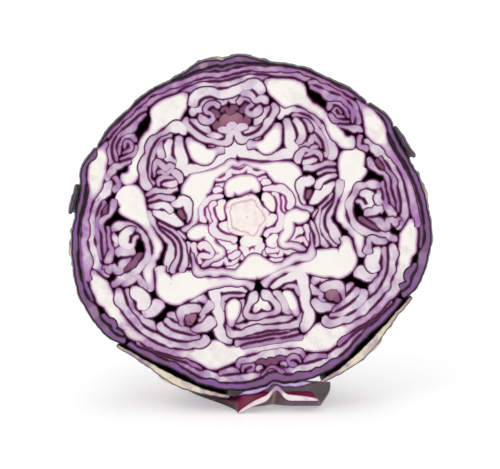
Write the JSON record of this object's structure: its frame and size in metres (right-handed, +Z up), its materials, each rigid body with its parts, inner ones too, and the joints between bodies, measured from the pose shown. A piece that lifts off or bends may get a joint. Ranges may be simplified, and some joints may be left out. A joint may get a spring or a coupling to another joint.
{
  "type": "halved red cabbage head",
  "caption": "Half a red cabbage, cut across: tightly folded purple and white leaves round a pale core, lying on a loose outer leaf with the cut face to the front.",
  "frame": {"origin": "on the ground, under the middle of the whole object's box", "axes": "+Z up; the cut face looks towards -Y and leans back 10 degrees; +X to the right of a person who faces the cut"},
  "size_m": [0.1548, 0.0906, 0.1487],
  "materials": {
    "core": "pale, juicy cut stalk",
    "white_rib": "crisp cream white cut rib with purple skin",
    "heart_leaf": "pale pink young leaf",
    "leaf_blade": "lilac cut leaf with purple skin",
    "outer_skin": "dark purple skin with a waxy bloom",
    "under_leaf": "dark crimson leaf with a waxy bloom"
  },
  "bodies": {
    "root": {"bottom_wrapper": "outer_skin", "bud_leaf_left": "heart_leaf", "bud_leaf_right": "heart_leaf", "crown_fold": "heart_leaf", "crown_leaf": "leaf_blade", "crown_rib": "white_rib", "curl_leaf_left": "leaf_blade", "curl_leaf_right": "leaf_blade", "hammer_cell_left": "white_rib", "hammer_cell_right": "white_rib", "hammer_leaf_left": "leaf_blade", "hammer_leaf_right": "leaf_blade", "head_core": "core", "heart_collar": "leaf_blade", "heart_leaf": "heart_leaf", "hook_leaf_left": "leaf_blade", "hook_leaf_right": "leaf_blade", "inner_wrapper_left": "leaf_blade", "inner_wrapper_right": "leaf_blade", "low_bud_leaf_left": "heart_leaf", "low_bud_leaf_right": "heart_leaf", "lower_bulb_leaf_left": "leaf_blade", "lower_bulb_leaf_right": "leaf_blade", "lower_first_band": "leaf_blade", "lower_flap_left": "outer_skin", "lower_flap_right": "outer_skin", "lower_fold": "leaf_blade", "lower_rib_leaf": "white_rib", "lower_ring_leaf": "white_rib", "lower_second_band": "leaf_blade", "lower_side_leaf_left": "white_rib", "lower_side_leaf_right": "white_rib", "lower_third_band": "leaf_blade", "lower_triangle_leaf": "leaf_blade", "lower_wrapper": "leaf_blade", "petal_leaf_left": "leaf_blade", "petal_leaf_right": "leaf_blade", "pocket_leaf_left": "leaf_blade", "pocket_leaf_right": "leaf_blade", "rib_wrapper_left": "white_rib", "rib_wrapper_right": "white_rib", "side_flap_left": "outer_skin", "side_flap_right": "outer_skin", "side_rib_leaf_left": "white_rib", "side_rib_leaf_right": "white_rib", "side_ring_leaf_left": "white_rib", "side_ring_leaf_right": "white_rib", "side_wrapper_left": "outer_skin", "side_wrapper_right": "outer_skin", "stripe_leaf_left": "leaf_blade", "stripe_leaf_right": "leaf_blade", "top_wrapper": "outer_skin", "under_leaf": "under_leaf", "upper_inner_leaf": "leaf_blade", "upper_lobe_leaf": "leaf_blade", "upper_ring_leaf": "white_rib", "upper_side_leaf_left": "white_rib", "upper_side_leaf_right": "white_rib", "upper_wrapper": "leaf_blade"}
  },
  "joints": []
}
